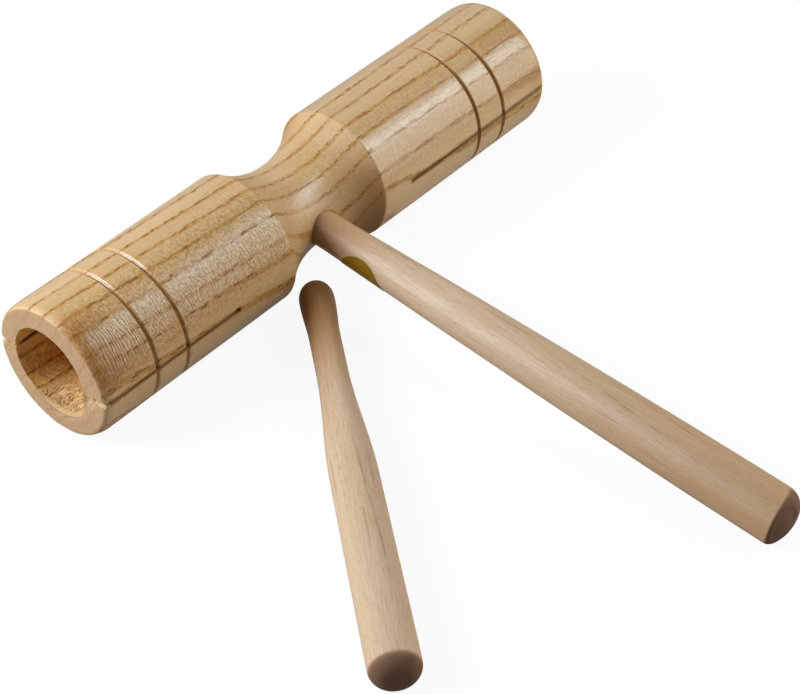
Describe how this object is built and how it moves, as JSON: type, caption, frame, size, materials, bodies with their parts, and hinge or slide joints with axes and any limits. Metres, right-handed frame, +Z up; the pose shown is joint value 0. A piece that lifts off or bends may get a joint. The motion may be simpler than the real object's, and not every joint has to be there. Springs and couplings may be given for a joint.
{
  "type": "two-tone wood block",
  "caption": "Turned wooden block with slit resonating chambers of unlike length either side of a waist, held by a stick handle and struck with a loose wooden beater.",
  "frame": {"origin": "on the floor, under the middle of the whole set as it lies", "axes": "+Z up, +X along the block towards its far chamber, -Y the way the handle points"},
  "size_m": [0.2166, 0.2124, 0.045],
  "materials": {
    "ash": "satin clear lacquer over open-grained ash, with dark pore lines along the block",
    "birch": "thin matt lacquer over pale fine-grained birch"
  },
  "bodies": {
    "instrument": {"tone_block": "ash", "handle": "birch"},
    "beater": {"beater": "birch"}
  },
  "joints": [
    {"name": "beater_pick_up", "type": "slide", "parent": "instrument", "child": "beater", "axis": [-0.4495, -0.5459, 0.7071], "range_m": [0, 0.12]}
  ]
}
